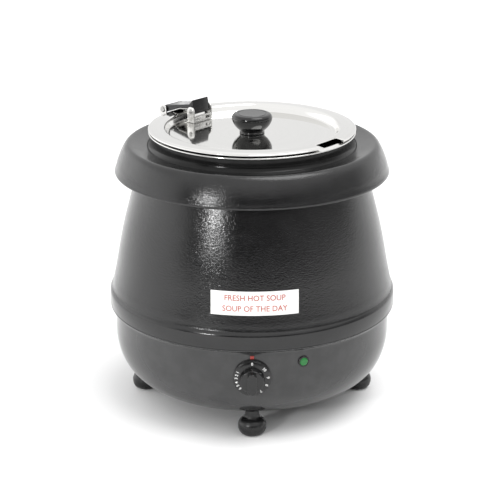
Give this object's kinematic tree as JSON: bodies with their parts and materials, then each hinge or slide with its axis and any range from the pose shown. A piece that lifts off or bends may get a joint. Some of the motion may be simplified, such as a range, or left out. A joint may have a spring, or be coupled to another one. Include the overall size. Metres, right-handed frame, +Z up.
{
  "type": "soup kettle",
  "caption": "Round electric soup kettle with a water bath, a lift-out steel pot, a polished lid on a two-pivot hinge, a ladle notch, a temperature dial and rubber feet.",
  "frame": {"origin": "on the body's axis, on the surface that the feet stand on", "axes": "+Z up; the temperature dial faces -Y; the lid's hinge is at the back left, at 139 degrees from +X"},
  "size_m": [0.343, 0.376, 0.3532],
  "materials": {
    "shell_paint": "gloss black hammertone stoving paint",
    "bowl_paint": "satin charcoal stoving paint",
    "neck_plastic": "satin black heat-resistant moulding",
    "label_white": null,
    "pointer_red": "printed red mark",
    "foot_rubber": "moulded, soft sheen",
    "zinc_steel": "zinc plated",
    "bath_steel": "deep-drawn stainless, dull",
    "heater_aluminium": "pressed sheet",
    "copper_tube": "drawn copper",
    "control_plastic": "moulded phenolic",
    "ceramic_block": "unglazed steatite",
    "gland_plastic": "moulded nylon",
    "bezel_plastic": "polished moulding",
    "lens_green": "tinted clear moulding",
    "dial_plastic": "satin black moulding with white numbers",
    "pot_steel": "satin stainless",
    "bracket_steel": "bright stainless",
    "lid_steel": "mirror-polished stainless",
    "hinge_plastic": "black heat-resistant moulding",
    "knob_plastic": "polished black phenolic"
  },
  "bodies": {
    "kettle": {"lower_bowl": "bowl_paint", "upper_shell": "shell_paint", "collar": "shell_paint", "neck_ring": "neck_plastic", "label_plate": "label_white", "pointer_mark": "pointer_red", "foot_1": "foot_rubber", "foot_2": "foot_rubber", "foot_3": "foot_rubber", "foot_4": "foot_rubber", "foot_screw_1": "zinc_steel", "foot_screw_2": "zinc_steel", "foot_screw_3": "zinc_steel", "foot_screw_4": "zinc_steel", "water_well": "bath_steel", "heater_plate": "heater_aluminium", "heating_element": "bath_steel", "element_clamp": "zinc_steel", "centre_stud": "zinc_steel", "clamp_nut": "zinc_steel", "heat_shield": "heater_aluminium", "tie_stud_1": "zinc_steel", "tie_stud_2": "zinc_steel", "tie_stud_3": "zinc_steel", "base_nut_1": "zinc_steel", "base_nut_2": "zinc_steel", "base_nut_3": "zinc_steel", "neck_screw_1": "zinc_steel", "neck_screw_2": "zinc_steel", "neck_screw_3": "zinc_steel", "neck_screw_4": "zinc_steel", "thermostat_body": "control_plastic", "capillary_tube": "copper_tube", "sensor_bulb": "copper_tube", "safety_cutout": "ceramic_block", "terminal_block": "ceramic_block", "cable_gland": "gland_plastic", "gland_nut": "gland_plastic", "pilot_bezel": "bezel_plastic", "pilot_lens": "lens_green", "pilot_lamp_body": "control_plastic"},
    "dial": {"dial_knob": "dial_plastic", "dial_spindle": "zinc_steel"},
    "pot": {"inner_pot": "pot_steel", "rim_bracket": "bracket_steel", "rim_rivet_1": "zinc_steel", "rim_rivet_2": "zinc_steel", "outer_hinge_pin": "bracket_steel"},
    "hinge_link": {"hinge_arm": "hinge_plastic", "hinge_strip": "bracket_steel"},
    "lid": {"lid_panel": "lid_steel", "lid_bracket": "bracket_steel", "inner_hinge_pin": "bracket_steel", "lid_rivet_1": "zinc_steel", "lid_rivet_2": "zinc_steel", "lid_knob": "knob_plastic", "knob_screw": "zinc_steel"}
  },
  "joints": [
    {"name": "dial_turn", "type": "hinge", "parent": "kettle", "child": "dial", "pos_m": [0, -0.166, 0.085], "axis": [0, 1, 0], "range_deg": [0, 310]},
    {"name": "pot_lift", "type": "slide", "parent": "kettle", "child": "pot", "axis": [0, 0, 1], "range_m": [0, 0.26]},
    {"name": "outer_hinge", "type": "hinge", "parent": "pot", "child": "hinge_link", "pos_m": [-0.09789, 0.0863, 0.3345], "axis": [-0.6613, -0.7501, 0], "range_deg": [0, 92]},
    {"name": "inner_hinge", "type": "hinge", "parent": "hinge_link", "child": "lid", "pos_m": [-0.06301, 0.05555, 0.3394], "axis": [-0.6613, -0.7501, 0], "range_deg": [0, 10]}
  ],
  "couplings": [
    {"joint": "inner_hinge", "follows": "outer_hinge", "ratio": 0.1}
  ]
}
